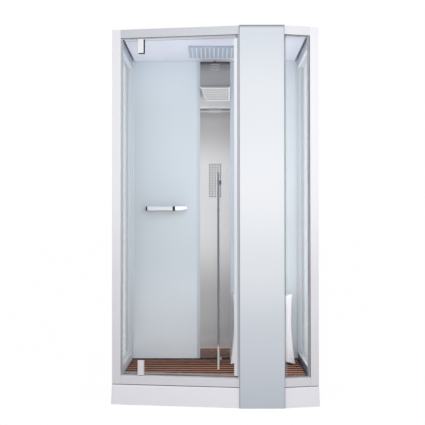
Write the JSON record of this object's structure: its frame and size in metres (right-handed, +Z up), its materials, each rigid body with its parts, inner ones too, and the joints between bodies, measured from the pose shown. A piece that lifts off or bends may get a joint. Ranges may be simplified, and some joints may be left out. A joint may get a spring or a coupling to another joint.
{
  "type": "steam shower cabin",
  "caption": "Steam shower cabin with a shallow tray, glass sides, a pivot door beside a full-height column, a steel jet wall, a rain head, a duckboard and a stool.",
  "frame": {"origin": "middle of the footprint, on the floor that the cabin stands on", "axes": "+Z up, -Y towards the front with the door and the column, +X to the right as seen from the front"},
  "size_m": [1.2, 0.9, 2.17],
  "materials": {
    "acrylic": "glossy",
    "frame_white": "satin powder coat",
    "clear_glass": "polished, toughened",
    "satin_glass": "satin, painted on its back",
    "painted_glass": "glossy, painted on its back",
    "steel": "brushed",
    "zinc_steel": "zinc plated",
    "chrome": "polished",
    "brass": "plain",
    "rubber": "soft, translucent grey",
    "white_plastic": "matte",
    "grey_plastic": "matte",
    "wood": "oiled hardwood"
  },
  "bodies": {
    "cabin": {"base_tray": "acrylic", "tray_frame": "zinc_steel", "levelling_feet": "rubber", "waste_trap": "white_plastic", "waste_grate": "chrome", "cable_gland": "rubber", "duckboard_slats": "wood", "duckboard_bearers": "wood", "front_left_post": "frame_white", "front_right_post": "frame_white", "rear_left_post": "frame_white", "rear_right_post": "frame_white", "front_left_sill": "frame_white", "front_right_sill": "frame_white", "front_left_header": "frame_white", "front_right_header": "frame_white", "left_bottom_rail": "frame_white", "right_bottom_rail": "frame_white", "left_top_rail": "frame_white", "right_top_rail": "frame_white", "rear_bottom_rail": "frame_white", "rear_top_rail": "frame_white", "left_side_glass": "clear_glass", "right_side_glass": "clear_glass", "front_fixed_glass": "clear_glass", "glass_gaskets": "rubber", "column_fascia": "satin_glass", "column_edge_trims": "grey_plastic", "column_housing": "frame_white", "strike_profile": "rubber", "steam_generator": "zinc_steel", "steam_outlet": "chrome", "control_unit": "grey_plastic", "keypad_bezel": "white_plastic", "back_panel_left": "painted_glass", "back_panel_right": "painted_glass", "panel_trims": "grey_plastic", "shower_panel": "steel", "jet_nozzles": "rubber", "jet_manifolds": "grey_plastic", "cascade_body": "acrylic", "cascade_plate": "steel", "wall_shelf": "chrome", "mixer_body": "chrome", "supply_pipes": "brass", "roof_pan": "acrylic", "ceiling_panel": "acrylic", "rain_head": "chrome", "pivot_bushes": "brass"},
    "door": {"door_glass": "clear_glass", "pivot_clamps": "frame_white", "clamp_screws": "zinc_steel", "door_bar": "chrome", "closing_profile": "frame_white", "door_seals": "rubber"},
    "temperature_knob": {"temperature_knob": "chrome"},
    "flow_knob": {"flow_knob": "chrome"},
    "power_button": {"power_button": "chrome"},
    "steam_button": {"steam_button": "chrome"},
    "stool": {"stool": "acrylic"}
  },
  "joints": [
    {"name": "door_hinge", "type": "hinge", "parent": "cabin", "child": "door", "pos_m": [-0.42595, -0.32466, 0.166], "axis": [0, 0, -1], "range_deg": [0, 100]},
    {"name": "temperature_knob_turn", "type": "hinge", "parent": "cabin", "child": "temperature_knob", "pos_m": [0.3965, 0.37, 1.05], "axis": [1, 0, 0], "range_deg": [-100, 80]},
    {"name": "flow_knob_turn", "type": "hinge", "parent": "cabin", "child": "flow_knob", "pos_m": [0.2045, 0.37, 1.05], "axis": [1, 0, 0], "range_deg": [-90, 90]},
    {"name": "power_button_press", "type": "slide", "parent": "cabin", "child": "power_button", "axis": [0, -1, 0], "range_m": [0, 0.0018], "stiffness_N_per_m": 400, "springref_m": -0.0012},
    {"name": "steam_button_press", "type": "slide", "parent": "cabin", "child": "steam_button", "axis": [0, -1, 0], "range_m": [0, 0.0018], "stiffness_N_per_m": 400, "springref_m": -0.0012},
    {"name": "stool_lift", "type": "slide", "parent": "cabin", "child": "stool", "axis": [0, 0, 1], "range_m": [0, 0.4]}
  ]
}
